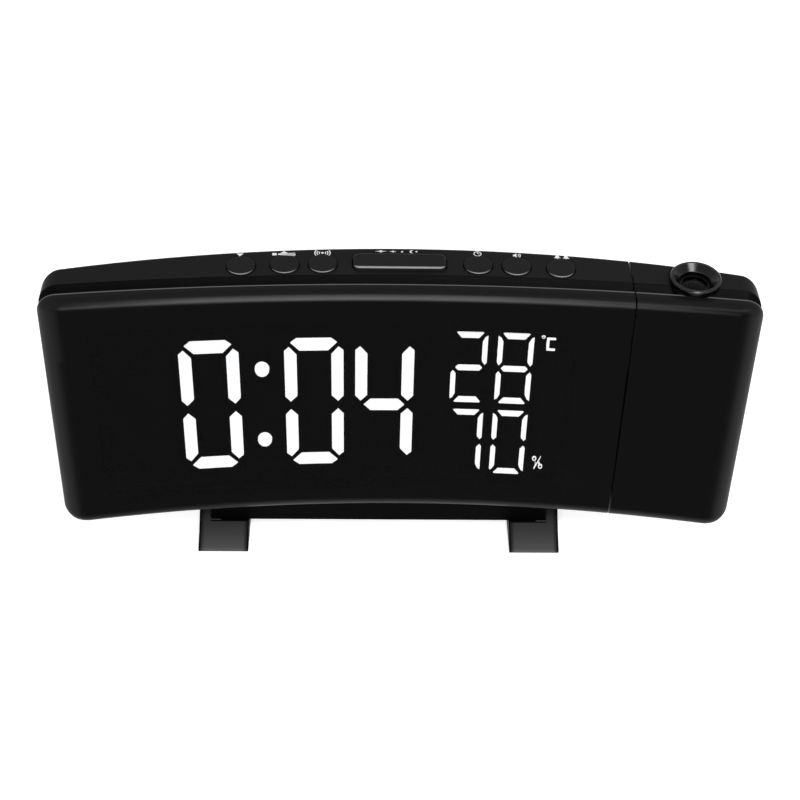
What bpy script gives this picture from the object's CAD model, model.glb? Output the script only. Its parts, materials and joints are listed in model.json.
import json
import math

import bmesh
import bpy
from mathutils import Matrix, Vector


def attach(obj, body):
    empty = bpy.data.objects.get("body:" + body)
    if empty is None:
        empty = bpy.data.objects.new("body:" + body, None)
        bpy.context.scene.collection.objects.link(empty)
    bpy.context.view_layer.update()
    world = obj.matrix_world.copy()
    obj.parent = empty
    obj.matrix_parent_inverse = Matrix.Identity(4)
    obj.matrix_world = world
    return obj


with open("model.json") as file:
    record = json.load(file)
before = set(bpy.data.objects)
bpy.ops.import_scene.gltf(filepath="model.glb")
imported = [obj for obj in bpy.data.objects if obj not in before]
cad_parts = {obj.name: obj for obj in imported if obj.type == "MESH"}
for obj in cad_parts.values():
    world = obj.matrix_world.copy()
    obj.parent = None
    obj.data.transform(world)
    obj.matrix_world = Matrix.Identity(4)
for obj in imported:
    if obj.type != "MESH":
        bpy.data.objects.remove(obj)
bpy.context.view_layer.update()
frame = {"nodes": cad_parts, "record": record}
scene = bpy.context.scene
scene.view_settings.view_transform = "Standard"

MM = 0.001

# The casing, in millimetres, from the part's source
TOP = 93.3
UNDERSIDE = 14.0
HALF_LENGTH = 101.0
FACE_TOP_Y = -8.0  # middle of the face's top edge
FACE_SLOPE = 0.069  # the middle of the face moves back by this much for each millimetre up
BOTTOM_SAG = 9.5
SAG_SLOPE = 0.0378
COVER_BACK = 4.3  # depth of the cover's rear edge behind the face
CASING_RIM = 8.95  # depth of the dark band's rear end behind the face
WINDOW_X = (-86.0, 48.6)
WINDOW_Z = (23.0, 82.0)
STAND_BAR_X = (-57.8, 46.9)
STAND_BAR_Z = 5.6
FOOT_X = (-53.6, 42.9)
FOOT_HALF = 7.7
FOOT_TOP = 14.0
SPEAKER_X, SPEAKER_Z = -58.0, 52.0


# ---------------------------------------------------------------- camera
def turned(yaw, pitch, roll):
    """Camera axes for a heading, a downward pitch and a roll, in degrees."""
    yaw, pitch, roll = (math.radians(v) for v in (yaw, pitch, roll))
    level = math.cos(pitch)
    forward = Vector((math.sin(yaw) * level, math.cos(yaw) * level, -math.sin(pitch)))
    right = Vector((math.cos(yaw), -math.sin(yaw), 0))
    up = right.cross(forward)
    across = math.cos(roll) * right + math.sin(roll) * up
    above = -math.sin(roll) * right + math.cos(roll) * up
    return Matrix((across, above, -forward)).transposed()


optics = bpy.data.cameras.new("camera")
optics.sensor_width = 36.0
optics.lens = 69.686
optics.clip_start = 0.01
camera = bpy.data.objects.new("camera", optics)
scene.collection.objects.link(camera)
camera.matrix_world = turned(1.8616, 42.4006, 1.6595).to_4x4()
camera.location = (-0.010714, -0.343011, 0.360050)
scene.camera = camera


# ---------------------------------------------------------------- node materials
class Look:
    """One node material, whose patterns are laid out in millimetres on the piece itself."""

    def __init__(self, name):
        self.material = bpy.data.materials.new(name)
        self.material.use_nodes = True
        self.tree = self.material.node_tree
        self.tree.nodes.clear()
        place = self.add("ShaderNodeTexCoord").outputs["Object"]
        self.mm = self.scaled(place, 1000, 1000, 1000)
        self.normal = None

    def add(self, kind, values=None, **settings):
        """A node of this kind, with its sockets set or linked by values."""
        made = self.tree.nodes.new(kind)
        for name, value in settings.items():
            setattr(made, name, value)
        for socket, value in (values or {}).items():
            if isinstance(value, bpy.types.NodeSocket):
                self.tree.links.new(value, made.inputs[socket])
            else:
                made.inputs[socket].default_value = value
        return made

    def scaled(self, place, x, y, z):
        values = {0: place, 1: (x, y, z)}
        return self.add("ShaderNodeVectorMath", values, operation="MULTIPLY").outputs[0]

    def stretched(self, x, y, z):
        """Places for a pattern that is drawn out along the axes with the small numbers."""
        return self.scaled(self.mm, x, y, z)

    def axis(self, name):
        return self.add("ShaderNodeSeparateXYZ", {0: self.mm}).outputs[name]

    def math(self, operation, a, b=0.0, clamp=False):
        made = self.add("ShaderNodeMath", {0: a, 1: b}, operation=operation, use_clamp=clamp)
        return made.outputs[0]

    def product(self, *factors):
        total = factors[0]
        for factor in factors[1:]:
            total = self.math("MULTIPLY", total, factor)
        return total

    def away(self, value, middle):
        """How far the value is from the middle, on either side."""
        return self.math("ABSOLUTE", self.math("SUBTRACT", value, middle))

    def reach(self, a, b):
        """Distance of a point whose steps along two axes are a and b."""
        squares = self.math("ADD", self.product(a, a), self.product(b, b))
        return self.math("SQRT", squares)

    def span(self, value, low, high, to_low=0.0, to_high=1.0):
        """value from low to high, made to run from to_low to to_high."""
        ends = {"Value": value, "From Min": low, "From Max": high}
        ends.update({"To Min": to_low, "To Max": to_high})
        return self.add("ShaderNodeMapRange", ends).outputs["Result"]

    def noise(self, size, detail=2.0, rough=0.5, place=None, twist=0.0):
        values = {"Vector": place or self.mm, "Scale": 1 / size, "Detail": detail}
        values.update({"Roughness": rough, "Distortion": twist})
        return self.add("ShaderNodeTexNoise", values).outputs[0]

    def cells(self, size):
        values = {"Vector": self.mm, "Scale": 1 / size}
        return self.add("ShaderNodeTexVoronoi", values).outputs["Distance"]

    def flow(self, size=38.0):
        """Marks that the flowing plastic left, longer along the part, from 0 to 1."""
        marks = self.noise(size, 2.0, 0.55, self.stretched(1, 2.2, 2.2), 0.6)
        return self.span(marks, 0.3, 0.7)

    def smears(self, low, high):
        """Roughness between low and high, in the patches that handling leaves."""
        return self.span(self.noise(22.0, 4.0, 0.6), 0.35, 0.7, low, high)

    def blend(self, amount, first, second):
        """first where amount is 0 and second where it is 1; both are colours or colour sockets."""
        made = self.add("ShaderNodeMix", {0: amount, 6: first, 7: second}, data_type="RGBA")
        return made.outputs[2]

    def grey(self, value):
        return (value, value, value, 1.0)

    def depth(self):
        """Millimetres behind the casing's concave face."""
        x, y, z = (self.axis(name) for name in "XYZ")
        middle = self.span(z, 0.0, TOP, FACE_TOP_Y - FACE_SLOPE * TOP, FACE_TOP_Y)
        top_sag = BOTTOM_SAG - SAG_SLOPE * (TOP - UNDERSIDE)
        sag = self.span(z, UNDERSIDE, TOP, BOTTOM_SAG, top_sag)
        turned_back = self.product(x, x, self.math("DIVIDE", sag, HALF_LENGTH**2))
        return self.math("ADD", self.math("SUBTRACT", y, middle), turned_back)

    def soften(self, radius):
        """Rounds the sharp edges by radius, and gives how much of an edge each point is, from 0 to 1."""
        self.normal = self.add("ShaderNodeBevel", {"Radius": radius * MM}, samples=6).outputs[0]
        flat = self.add("ShaderNodeNewGeometry").outputs["Normal"]
        values = {0: self.normal, 1: flat}
        facing = self.add("ShaderNodeVectorMath", values, operation="DOT_PRODUCT").outputs["Value"]
        return self.span(facing, 0.995, 0.88)

    def bump(self, height, depth):
        """Raises the surface by depth millimetres where height is 1."""
        values = {"Height": height, "Distance": depth * MM}
        if self.normal:
            values["Normal"] = self.normal
        self.normal = self.add("ShaderNodeBump", values).outputs[0]

    def finish(self, color, roughness, **settings):
        """The material, with the settings named as the shader's sockets are."""
        values = {"Base Color": color, "Roughness": roughness}
        values.update({name.replace("_", " "): value for name, value in settings.items()})
        if self.normal:
            values["Normal"] = self.normal
        shader = self.add("ShaderNodeBsdfPrincipled", values)
        self.add("ShaderNodeOutputMaterial", {"Surface": shader.outputs[0]})
        return self.material


def moulded(name, color, worn, roughness, grain, grain_depth, specular, edge=0.25, rim=None, **settings):
    """Moulded plastic: spark-eroded grain, faint flow marks, and edges made lighter and smoother by handling.

    With a rim, the part less than rim millimetres behind the face is polished and so darker.
    """
    look = Look(name)
    edges = look.soften(edge)
    rubbed = look.product(edges, look.span(look.noise(6.0, 3.0), 0.35, 0.7))
    tone = look.blend(look.flow(), look.grey(color * 0.9), look.grey(color * 1.1))
    tone = look.blend(look.product(rubbed, 0.6), tone, look.grey(worn))
    if rim:
        polished = look.span(look.depth(), rim, rim + 0.15, 1.0, 0.0)
        tone = look.blend(polished, tone, look.grey(color * 0.15))
    smears = look.smears(roughness - 0.04, roughness + 0.05)
    rough = look.math("SUBTRACT", smears, look.product(rubbed, 0.08))
    look.bump(look.noise(grain, 3.0, 0.6), grain_depth)
    return look.finish(tone, rough, Specular_IOR_Level=specular, **settings)


FLAT_TONE = 0.007  # just behind the face's rounded edge
SIDE_TONE = 0.012  # along the two ends
LOW_TONE = 0.042  # along the bottom edge
EDGE_TONE = 0.046  # the handled edge, along the middle of the top
REAR_TONE = 0.10  # the cover's rear edge, at the parting line


def framed(look, face):
    """Colour of a cover: a polished face that turns satin towards its outline, and a worn rear edge."""
    x, depth = look.axis("X"), look.depth()
    beside = look.math("SUBTRACT", HALF_LENGTH, look.math("ABSOLUTE", x))
    above = look.math("SUBTRACT", look.axis("Z"), UNDERSIDE)
    uneven = look.span(look.noise(16.0, 3.0), 0.3, 0.7, 0.85, 1.1)
    sides = look.math("POWER", look.span(beside, 0.0, 7.5, 1.0, 0.0), 1.7)
    bottom = look.math("POWER", look.span(above, 1.5, 4.4, 1.0, 0.0), 1.5)
    bottom = look.product(bottom, look.span(x, -75, -35, 0.45, 1.0))
    rounding = look.product(look.span(depth, 0.06, 0.36), look.span(depth, 0.5, 1.2, 1.0, 0.0))
    middle = look.product(look.span(x, -98, -56), look.span(x, 24, 92, 1.0, 0.0))
    handled = look.product(rounding, middle, look.math("GREATER_THAN", above, 60.0))
    tone = look.blend(look.span(depth, 0.3, 1.2), face, look.grey(FLAT_TONE))
    for amount, level in ((sides, SIDE_TONE), (bottom, LOW_TONE), (handled, EDGE_TONE)):
        tone = look.blend(look.product(amount, uneven), tone, look.grey(level))
    rear = look.span(depth, COVER_BACK, COVER_BACK + 0.15)
    return look.blend(rear, tone, look.grey(REAR_TONE))


def cover(look, face, **settings):
    """Finish of a cover, with a few wiping marks."""
    tone = framed(look, face)
    wiped = look.noise(9.0, 5.0, 0.6, look.stretched(0.35, 1, 1.2), 1.2)
    rough = look.span(wiped, 0.3, 0.75, 0.28, 0.36)
    look.bump(look.noise(0.9, 2.0, 0.5), 0.0015)
    return look.finish(tone, rough, Specular_IOR_Level=0.035, **settings)


def ripple(look, low, high):
    """Slow waves in a cover's colour."""
    waves = look.noise(30.0, 2.0, 0.5, look.stretched(1, 1, 1.6), 0.4)
    return look.span(waves, 0.3, 0.7, low, high)


SMOKE = 0.9  # share of the light that each surface of the cover stops
LAMP = 1.05 / (1 - SMOKE) ** 2  # so that a lit segment is white behind both surfaces
BORDER = 1.5  # half the width of the change from smoked to black


def smoked_cover():
    """Smoked plastic, see-through in the window and backed with black round it."""
    look = Look("smoked_cover")
    off = []
    for axis, (low, high) in (("X", WINDOW_X), ("Z", WINDOW_Z)):
        away = look.away(look.axis(axis), (low + high) / 2)
        off.append(look.math("SUBTRACT", away, (high - low) / 2))
    border = look.span(look.math("MAXIMUM", *off), -BORDER, BORDER)
    backed = look.math("ADD", border, ripple(look, -0.2, 0.2), clamp=True)
    face = look.blend(backed, look.grey(0.0009), look.grey(0.0002))
    return cover(look, face, Alpha=look.span(border, 0.0, 1.0, SMOKE, 1.0))


def end_cover():
    """The same plastic on the projector end, solid black."""
    look = Look("end_cover")
    return cover(look, look.blend(ripple(look, 0.0, 1.0), look.grey(0.0001), look.grey(0.0003)))


def stand():
    """Moulded stand: a polished black bar, and grained feet with lighter toes and dark sides."""
    look = Look("stand")
    x, z = look.axis("X"), look.axis("Z")
    edges = look.soften(0.5)
    off = look.away(look.away(x, sum(FOOT_X) / 2), (FOOT_X[1] - FOOT_X[0]) / 2)
    beside = look.math("SUBTRACT", FOOT_HALF, off)
    slope = look.math("POWER", look.span(z, 0.0, FOOT_TOP, 1.0, 0.0), 4.3)
    tone = look.blend(slope, look.grey(0.010), look.grey(0.085))
    tone = look.blend(look.span(beside, 0.3, 1.8, 1.0, 0.0), tone, look.grey(0.001))
    reach = (STAND_BAR_X[1] - STAND_BAR_X[0]) / 2
    along = look.away(x, sum(STAND_BAR_X) / 2)
    within = look.math("LESS_THAN", along, reach + 0.01)
    bar = look.product(within, look.math("GREATER_THAN", z, STAND_BAR_Z - 0.01))
    corner = look.product(edges, look.math("GREATER_THAN", along, reach - 3.2))
    polished = look.blend(look.flow(30.0), look.grey(0.0001), look.grey(0.0003))
    tone = look.blend(bar, tone, look.blend(corner, polished, look.grey(0.08)))
    look.bump(look.noise(0.4, 3.0, 0.6), 0.008)
    return look.finish(tone, look.smears(0.36, 0.45), Specular_IOR_Level=0.02)


def button():
    """Grained plastic like the casing's, with a smooth bright edge that catches the light at the front."""
    look = Look("button")
    normal = look.add("ShaderNodeNewGeometry").outputs["Normal"]
    facing = look.add("ShaderNodeSeparateXYZ", {0: normal}).outputs
    edge = look.product(look.span(facing["Y"], -0.4, -0.75), look.span(facing["Z"], 0.2, 0.45))
    uneven = look.span(look.noise(5.0, 3.0), 0.3, 0.7, 0.8, 1.0)
    tone = look.blend(look.flow(), look.grey(0.0084), look.grey(0.0102))
    tone = look.blend(look.product(edge, uneven), tone, look.grey(0.24))
    look.bump(look.noise(0.35, 3.0, 0.6), 0.006)
    return look.finish(tone, look.smears(0.3, 0.4), Specular_IOR_Level=0.04)


PERCENT = (42.0, 31.9)  # middle
PERCENT_SLOPE = (0.95, 2.5)
PERCENT_REACH = 2.0  # the stroke's mask works within this distance
RINGS = [  # middle, half width and half height
    (41.0, 33.4, 0.6, 0.9),  # upper ring of the percent sign
    (43.0, 30.45, 0.6, 0.9),  # lower ring
    (40.4, 78.3, 0.5, 0.5),  # degree sign
]


def lit_segment():
    """Frosted white plastic with a lamp behind it.

    A black mask opens the signs' rings and thins the percent sign's stroke.
    """
    look = Look("lit_segment")
    x, z = look.axis("X"), look.axis("Z")
    frost = look.noise(0.6, 3.0, 0.6)
    cloud = look.span(look.noise(7.0, 2.0), 0.3, 0.7)
    glow = look.blend(cloud, (0.93, 0.95, 1.0, 1), (1.0, 1.0, 1.0, 1))
    across, down = look.math("SUBTRACT", x, PERCENT[0]), look.math("SUBTRACT", z, PERCENT[1])
    length = math.hypot(*PERCENT_SLOPE)
    run, rise = PERCENT_SLOPE[0] / length, PERCENT_SLOPE[1] / length
    off = look.away(look.product(across, rise), look.product(down, run))
    shown = look.span(off, 0.16, 0.2, 1.0, 0.0)
    near_x = look.math("ABSOLUTE", across)
    near_z = look.product(look.math("ABSOLUTE", down), 0.7)
    near = look.math("MAXIMUM", near_x, near_z)
    shown = look.math("MAXIMUM", shown, look.math("GREATER_THAN", near, PERCENT_REACH))
    for middle_x, middle_z, half_x, half_z in RINGS:
        side = look.math("DIVIDE", look.math("SUBTRACT", x, middle_x), half_x)
        up = look.math("DIVIDE", look.math("SUBTRACT", z, middle_z), half_z)
        reach = look.reach(side, up)
        shown = look.math("MAXIMUM", shown, look.math("LESS_THAN", reach, 1.05))
        shown = look.product(shown, look.span(reach, 0.5, 0.6))
    glow = look.blend(shown, look.grey(0.0), glow)
    tone = look.blend(shown, look.grey(0.01), look.grey(0.8))
    look.bump(frost, 0.01)
    rough = look.span(frost, 0.3, 0.7, 0.5, 0.65)
    return look.finish(tone, rough, Emission_Color=glow, Emission_Strength=LAMP)


def unlit_segment():
    """The same plastic with no light behind it, seen dark through the smoke."""
    look = Look("unlit_segment")
    frost = look.noise(0.6, 3.0, 0.6)
    tone = look.blend(look.span(frost, 0.3, 0.7), look.grey(0.012), look.grey(0.018))
    look.bump(frost, 0.01)
    return look.finish(tone, look.span(frost, 0.3, 0.7, 0.5, 0.7), Specular_IOR_Level=0.1)


TRACK_PITCH = 1.27
TRACK_SHARE = 0.28


def circuit_board():
    """Green solder mask over copper tracks that run both ways, with tinned pads."""
    look = Look("circuit_board")
    x, y, z = (look.axis(name) for name in "XYZ")
    rows, columns = (
        look.math("LESS_THAN", look.math("FRACT", look.math("DIVIDE", value, TRACK_PITCH)), TRACK_SHARE)
        for value in (look.math("ADD", z, y), x)
    )
    region = look.noise(9.0, 1.0)
    tracks_x = look.product(rows, look.math("GREATER_THAN", region, 0.5))
    tracks_z = look.product(columns, look.math("LESS_THAN", region, 0.5))
    tracks = look.math("MAXIMUM", tracks_x, tracks_z)
    pads = look.math("LESS_THAN", look.cells(4.2), 0.14)
    weave = look.noise(0.5, 2.0)
    tone = look.blend(tracks, (0.006, 0.05, 0.022, 1), (0.012, 0.10, 0.04, 1))
    tone = look.blend(look.product(weave, 0.25), tone, (0.02, 0.08, 0.04, 1))
    tone = look.blend(pads, tone, (0.55, 0.54, 0.5, 1))
    look.bump(look.math("MAXIMUM", tracks, pads), 0.035)
    rough = look.span(weave, 0.3, 0.7, 0.26, 0.4)
    return look.finish(tone, rough, Metallic=look.product(pads, 0.9), Coat_Weight=0.3)


def chip():
    """Mottled, matt black moulding compound."""
    look = Look("chip")
    fine = look.noise(0.25, 4.0, 0.7)
    look.soften(0.12)
    look.bump(fine, 0.02)
    tone = look.blend(look.noise(3.0, 3.0), look.grey(0.012), look.grey(0.03))
    return look.finish(tone, look.span(fine, 0.3, 0.7, 0.6, 0.8))


def bare_metal(name, dark, light, roughness, stretch):
    """Drawn or plated metal: streaks along its working, a few dull patches, brighter edges."""
    look = Look(name)
    edges = look.soften(0.1)
    streaks = look.noise(1.2, 4.0, 0.7, look.stretched(*stretch))
    tone = look.blend(look.span(streaks, 0.3, 0.7), dark, light)
    tone = look.blend(look.product(edges, 0.3), tone, look.grey(0.8))
    drawn = look.span(streaks, 0.3, 0.7, roughness - 0.06, roughness + 0.06)
    dull = look.span(look.noise(5.0, 3.0), 0.4, 0.8, 0, 0.12)
    look.bump(streaks, 0.004)
    return look.finish(tone, look.math("ADD", drawn, dull), Metallic=1.0)


WIRE_PITCH = 1.2
RED_WIRE_END = 16.2


def ribbon_cable():
    """Grey insulated wires side by side, the first one marked red."""
    look = Look("ribbon")
    across = look.axis("X")
    wires = look.math("ABSOLUTE", look.math("SINE", look.product(across, math.pi / WIRE_PITCH)))
    tone = look.blend(look.span(wires, 0, 0.5), look.grey(0.08), look.grey(0.32))
    tone = look.blend(look.math("LESS_THAN", across, RED_WIRE_END), tone, (0.4, 0.03, 0.02, 1))
    look.bump(wires, 0.12)
    return look.finish(tone, look.span(look.noise(2.0), 0.3, 0.7, 0.4, 0.55))


def speaker_cone():
    """Pressed black paper: fibres, and shallow rings about the axis."""
    look = Look("speaker_cone")
    x = look.math("SUBTRACT", look.axis("X"), SPEAKER_X)
    z = look.math("SUBTRACT", look.axis("Z"), SPEAKER_Z)
    rings = look.math("SINE", look.product(look.reach(x, z), 5.2))
    fibres = look.noise(0.5, 5.0, 0.7, twist=1.0)
    look.bump(look.math("ADD", look.product(rings, 0.4), fibres), 0.08)
    tone = look.blend(look.span(fibres, 0.3, 0.7), look.grey(0.01), look.grey(0.035))
    return look.finish(tone, look.span(fibres, 0.3, 0.7, 0.75, 0.95), Sheen_Weight=0.2)


def lens_glass():
    """Dark tinted, coated acrylic with a faint haze."""
    look = Look("lens_glass")
    haze = look.noise(0.8, 3.0)
    tint = look.blend(look.noise(4.0), (0.05, 0.055, 0.07, 1), (0.03, 0.035, 0.05, 1))
    rough = look.span(haze, 0.4, 0.8, 0.03, 0.08)
    look.bump(haze, 0.0006)
    return look.finish(tint, rough, Transmission_Weight=1.0, IOR=1.16)


def printed():
    """Screen-printed white ink, a little uneven."""
    look = Look("print")
    patchy = look.noise(0.35, 4.0, 0.7)
    tone = look.blend(look.span(patchy, 0.3, 0.75), look.grey(0.74), look.grey(0.9))
    look.bump(patchy, 0.01)
    return look.finish(tone, look.span(patchy, 0.3, 0.7, 0.5, 0.65))


def emitter():
    """A lamp chip's phosphor under clear resin."""
    look = Look("led")
    cells = look.span(look.cells(0.9), 0.1, 0.5)
    tone = look.blend(cells, (0.8, 0.62, 0.12, 1), (0.9, 0.86, 0.7, 1))
    look.soften(0.08)
    return look.finish(tone, look.span(look.noise(0.4), 0.3, 0.7, 0.2, 0.35), Coat_Weight=0.6)


# moulded: colour, worn edge, roughness, grain size, grain depth, specular level
# bare_metal: dark and light streaks, roughness, how the streaks are drawn out
looks = {
    "smoked_cover": smoked_cover(),
    "end_cover": end_cover(),
    "casing": moulded("casing", 0.0105, 0.016, 0.36, 0.4, 0.008, 0.02, rim=CASING_RIM),
    "button": button(),
    "stand": stand(),
    "ring": moulded("ring", 0.0008, 0.3, 0.2, 0.5, 0.002, 0.2, edge=0.12),
    "reflector": moulded("reflector", 0.002, 0.003, 0.6, 0.5, 0.002, 0.01),
    "lit_segment": lit_segment(),
    "unlit_segment": unlit_segment(),
    "led": emitter(),
    "circuit_board": circuit_board(),
    "chip": chip(),
    "capacitor": bare_metal("capacitor", (0.42, 0.43, 0.46, 1), (0.68, 0.69, 0.72, 1), 0.3, (1, 1, 0.12)),
    "connector": moulded("connector", 0.55, 0.7, 0.5, 0.5, 0.01, 0.5),
    "ribbon": ribbon_cable(),
    "inner_plastic": moulded("inner_plastic", 0.004, 0.012, 0.5, 0.5, 0.01, 0.12),
    "speaker_frame": moulded("speaker_frame", 0.02, 0.2, 0.4, 0.3, 0.01, 0.5, Metallic=0.3),
    "speaker_cone": speaker_cone(),
    "magnet": bare_metal("magnet", (0.3, 0.3, 0.32, 1), (0.52, 0.52, 0.55, 1), 0.3, (1, 0.15, 1)),
    "contact": bare_metal("contact", (0.58, 0.56, 0.5, 1), (0.8, 0.78, 0.72, 1), 0.25, (0.2, 1, 1)),
    "screw": bare_metal("screw", (0.03, 0.03, 0.033, 1), (0.07, 0.07, 0.075, 1), 0.35, (1, 0.3, 1)),
    "bush": moulded("bush", 0.7, 0.8, 0.45, 0.4, 0.006, 0.4),
    "washer": bare_metal("washer", (0.36, 0.36, 0.38, 1), (0.62, 0.62, 0.65, 1), 0.28, (1, 1, 0.2)),
    "lens_glass": lens_glass(),
    "pad": moulded("pad", 0.02, 0.04, 0.85, 0.3, 0.03, 0.25),
}
for subpart in frame["record"]["subparts"]:
    piece = frame["nodes"][subpart["node"]]
    for slot in piece.material_slots:
        slot.material = looks[subpart["material_slot"]]


# ---------------------------------------------------------------- printed marks on the top
INK = 0.05  # how far the ink stands above the casing and reaches into it


def disc(x, y, radius, count=24):
    step = 2 * math.pi / count
    return [(x + radius * math.cos(step * i), y + radius * math.sin(step * i)) for i in range(count)]


def arc_band(x, y, inner, outer, start, end, count=14):
    """A piece of a ring between two angles in degrees."""
    angles = [math.radians(start + (end - start) * i / count) for i in range(count + 1)]
    far = [(x + outer * math.cos(a), y + outer * math.sin(a)) for a in angles]
    near = [(x + inner * math.cos(a), y + inner * math.sin(a)) for a in reversed(angles)]
    return far + near


def stroke(x0, y0, x1, y1, width):
    """A straight line of this width between two points."""
    along = Vector((x1 - x0, y1 - y0)).normalized()
    side = Vector((-along.y, along.x)) * width / 2
    start = [(x0 + side.x, y0 + side.y), (x0 - side.x, y0 - side.y)]
    end = [(x1 - side.x, y1 - side.y), (x1 + side.x, y1 + side.y)]
    return start + end


def moon(x, y, radius, bite, shift, count=18):
    """A crescent: a disc with a smaller disc's edge bitten out of its right side."""
    reach = (radius**2 - bite**2 + shift**2) / (2 * shift)
    top = math.acos(reach / radius)
    outer = [top + (2 * math.pi - 2 * top) * i / count for i in range(count + 1)]
    inner_top = math.atan2(math.sqrt(radius**2 - reach**2), reach - shift)
    inner = [-inner_top - (2 * math.pi - 2 * inner_top) * i / count for i in range(count + 1)]
    far = [(x + radius * math.cos(a), y + radius * math.sin(a)) for a in outer]
    near = [(x + shift + bite * math.cos(a), y + bite * math.sin(a)) for a in inner]
    return far + near[1:-1]


def triangle(x, y, width, height):
    return [(x - width / 2, y), (x + width / 2, y), (x, y + height)]


def speaker_mark(x, y):
    """A loudspeaker with two waves."""
    horn = [(-1.1, -0.35), (-0.7, -0.35), (-0.1, -0.95), (-0.1, 0.95), (-0.7, 0.35), (-1.1, 0.35)]
    horn = [(x + across, y + up) for across, up in horn]
    waves = [arc_band(x - 0.2, y, inner, inner + 0.22, -42, 42) for inner in (0.62, 1.1)]
    return [horn] + waves


def clock_mark(x, y):
    """A clock face: a rim in two halves, and two hands."""
    rim = [arc_band(x, y, 0.9, 1.15, start, start + 179.9) for start in (0, 180)]
    hands = [stroke(x, y - 0.1, x, y + 0.68, 0.2), stroke(x - 0.08, y, x + 0.55, y, 0.2)]
    return rim + hands


def bell_mark(x, y, size):
    """A bell: rim, dome, clapper and knob."""
    rim_y = y - 0.6 * size
    rim = stroke(x - 1.05 * size, rim_y, x + 1.05 * size, rim_y, 0.22)
    crown = [math.radians(18 * i) for i in range(1, 10)]
    dome = [(-0.72, -0.42), (0.72, -0.42), (0.58, 0.3)]
    dome += [(0.58 * math.cos(a), 0.3 + 0.6 * math.sin(a)) for a in crown]
    dome += [(-0.58, 0.3)]
    dome = [(x + across * size, y + up * size) for across, up in dome]
    clapper = disc(x, y - 0.92 * size, 0.2 * size, 14)
    knob = disc(x, y + 1.05 * size, 0.17 * size, 14)
    return [rim, dome, clapper, knob]


def radio_mark(x, y):
    """A dot with three waves on each side."""
    places = [(inner, side) for inner in (0.75, 1.4, 2.05) for side in (0, 180)]
    waves = [arc_band(x, y, inner, inner + 0.28, side - 34, side + 34) for inner, side in places]
    return [disc(x, y, 0.38, 16)] + waves


def beam_mark(x, y):
    """A projector: a small body and its spreading beam."""
    body = [(x - 3.3, y - 0.5), (x - 2.1, y - 0.5), (x - 2.1, y + 0.5), (x - 3.3, y + 0.5)]
    rays = [stroke(x - 1.7, y, x + 3.3, y, 0.22)]
    rays += [stroke(x - 1.7, y + 0.18 * side, x + 3.2, y + 0.6 * side, 0.2) for side in (1, -1)]
    return [body] + rays


def star_mark(x, y, width, height):
    """A star with four points."""
    inner = 0.28
    corners = []
    for across, up in ((1, 0), (0, 1), (-1, 0), (0, -1)):
        corners.append((x + across * width, y + up * height))
        corners.append((x + (across - up) * width * inner, y + (up + across) * height * inner))
    return corners


def snooze_mark():
    """Two stars, a dot, a moon and a dot in a row behind the long button."""
    stars = [star_mark(-5.9, 11.75, 1.7, 0.6), star_mark(-2.4, 11.7, 1.0, 0.5)]
    return stars + [disc(0.2, 11.65, 0.32, 18), moon(3.0, 11.7, 0.68, 0.58, 0.42), disc(4.3, 11.75, 0.3, 16)]


def raised(name, outlines):
    """Thin flat shapes, from just under the casing's top to just above it."""
    mesh = bmesh.new()
    for outline in outlines:
        low, high = (
            [mesh.verts.new((x * MM, y * MM, z * MM)) for x, y in outline] for z in (TOP - INK, TOP + INK)
        )
        mesh.faces.new(high)
        mesh.faces.new(list(reversed(low)))
        for i in range(len(outline)):
            j = (i + 1) % len(outline)
            mesh.faces.new((low[i], low[j], high[j], high[i]))
    bmesh.ops.recalc_face_normals(mesh, faces=mesh.faces)
    data = bpy.data.meshes.new(name)
    mesh.to_mesh(data)
    mesh.free()
    made = bpy.data.objects.new(name, data)
    scene.collection.objects.link(made)
    return made


ink = printed()
marks = {
    "mark_down": [triangle(-45.85, 10.1, 2.0, -1.3)],
    "mark_up": [triangle(-33.4, 10.55, 2.0, 0.85)] + beam_mark(-33.4, 9.95),
    "mark_radio": radio_mark(-22.5, 10.75),
    "mark_snooze": snooze_mark(),
    "mark_set": clock_mark(21.7, 10.98),
    "mark_volume": speaker_mark(32.9, 10.4),
    "mark_alarm": bell_mark(44.4, 9.95, 0.85) + bell_mark(46.9, 9.8, 0.85),
}
for name, outlines in marks.items():
    mark = raised(name, outlines)
    mark.data.materials.append(ink)
    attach(mark, "clock")


# ---------------------------------------------------------------- floor, world and lamps
WORLD_LIGHT = 0.4
FLOOR_GLOW = 0.62
FLOOR_PAINT = 0.82
FLOOR_HALF = 4.0
FLOOR_Z = -0.0001
AIM = Vector((0, 0, 0.05))


def seen(tree):
    """1 for rays that show the background: from the camera, off gloss and through glass."""
    path = tree.nodes.new("ShaderNodeLightPath").outputs
    shown = path["Is Camera Ray"]
    for name in ("Is Glossy Ray", "Is Transmission Ray"):
        either = tree.nodes.new("ShaderNodeMath")
        either.operation = "MAXIMUM"
        tree.links.new(shown, either.inputs[0])
        tree.links.new(path[name], either.inputs[1])
        shown = either.outputs[0]
    return shown


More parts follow.
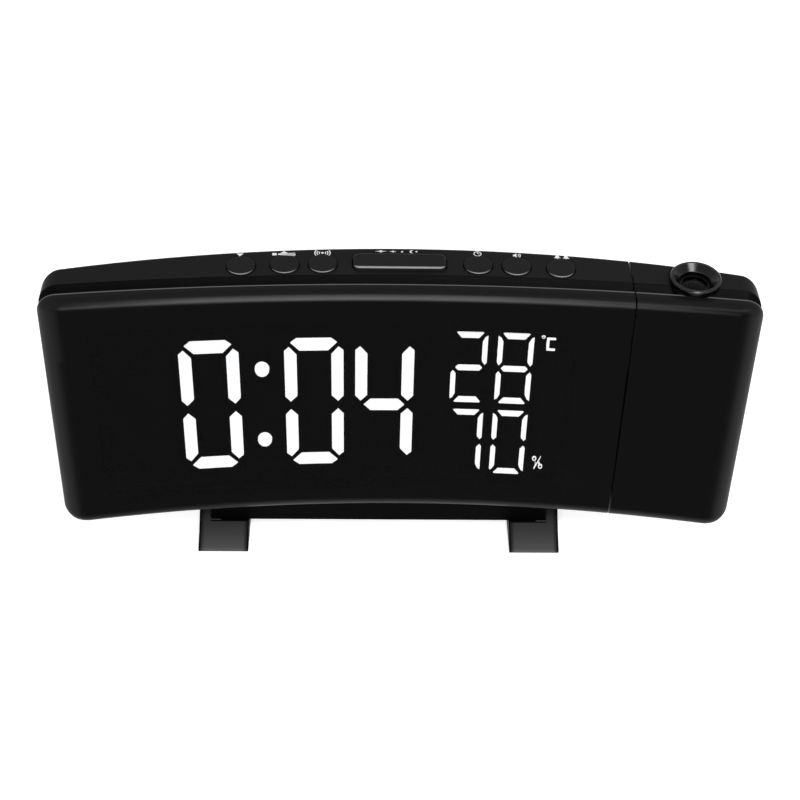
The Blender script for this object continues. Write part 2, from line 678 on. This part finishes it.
world = bpy.data.worlds.new("studio")
scene.world = world
world.use_nodes = True
tree = world.node_tree
background = tree.nodes["Background"]
strength = tree.nodes.new("ShaderNodeMapRange")
tree.links.new(seen(tree), strength.inputs["Value"])
strength.inputs["To Min"].default_value = WORLD_LIGHT
strength.inputs["To Max"].default_value = 1.0
background.inputs["Color"].default_value = (1, 1, 1, 1)
tree.links.new(strength.outputs["Result"], background.inputs["Strength"])

floor_look = bpy.data.materials.new("floor")
floor_look.use_nodes = True
tree = floor_look.node_tree
tree.nodes.clear()
paint = tree.nodes.new("ShaderNodeBsdfDiffuse")
paint.inputs["Color"].default_value = (FLOOR_PAINT, FLOOR_PAINT, FLOOR_PAINT, 1)
glow = tree.nodes.new("ShaderNodeEmission")
dimmed = tree.nodes.new("ShaderNodeMath")
dimmed.operation = "MULTIPLY"
dimmed.inputs[1].default_value = FLOOR_GLOW
tree.links.new(seen(tree), dimmed.inputs[0])
tree.links.new(dimmed.outputs[0], glow.inputs["Strength"])
both = tree.nodes.new("ShaderNodeAddShader")
tree.links.new(paint.outputs[0], both.inputs[0])
tree.links.new(glow.outputs[0], both.inputs[1])
output = tree.nodes.new("ShaderNodeOutputMaterial")
tree.links.new(both.outputs[0], output.inputs["Surface"])

floor_mesh = bpy.data.meshes.new("floor")
corners = [(x * FLOOR_HALF, y * FLOOR_HALF, FLOOR_Z) for x, y in ((-1, -1), (1, -1), (1, 1), (-1, 1))]
floor_mesh.from_pydata(corners, [], [(0, 1, 2, 3)])
floor_mesh.materials.append(floor_look)
floor = bpy.data.objects.new("floor", floor_mesh)
scene.collection.objects.link(floor)


def softbox(name, place, size, power):
    """A soft lamp that faces the clock; sizes in metres, power in watts."""
    data = bpy.data.lights.new(name, "AREA")
    data.shape = "RECTANGLE"
    data.size, data.size_y = size
    data.energy = power
    lamp = bpy.data.objects.new(name, data)
    scene.collection.objects.link(lamp)
    lamp.location = place
    lamp.rotation_euler = (AIM - Vector(place)).to_track_quat("-Z", "Y").to_euler()


softbox("key", (-0.05, -0.80, 0.34), (0.30, 0.24), 5.4)
softbox("glint", (0.25, -0.45, 0.74), (0.52, 0.08), 4.2)
softbox("fill_left", (-0.9, -0.5, 0.4), (0.4, 0.4), 0.7)
softbox("fill_right", (0.9, -0.5, 0.4), (0.4, 0.4), 0.7)
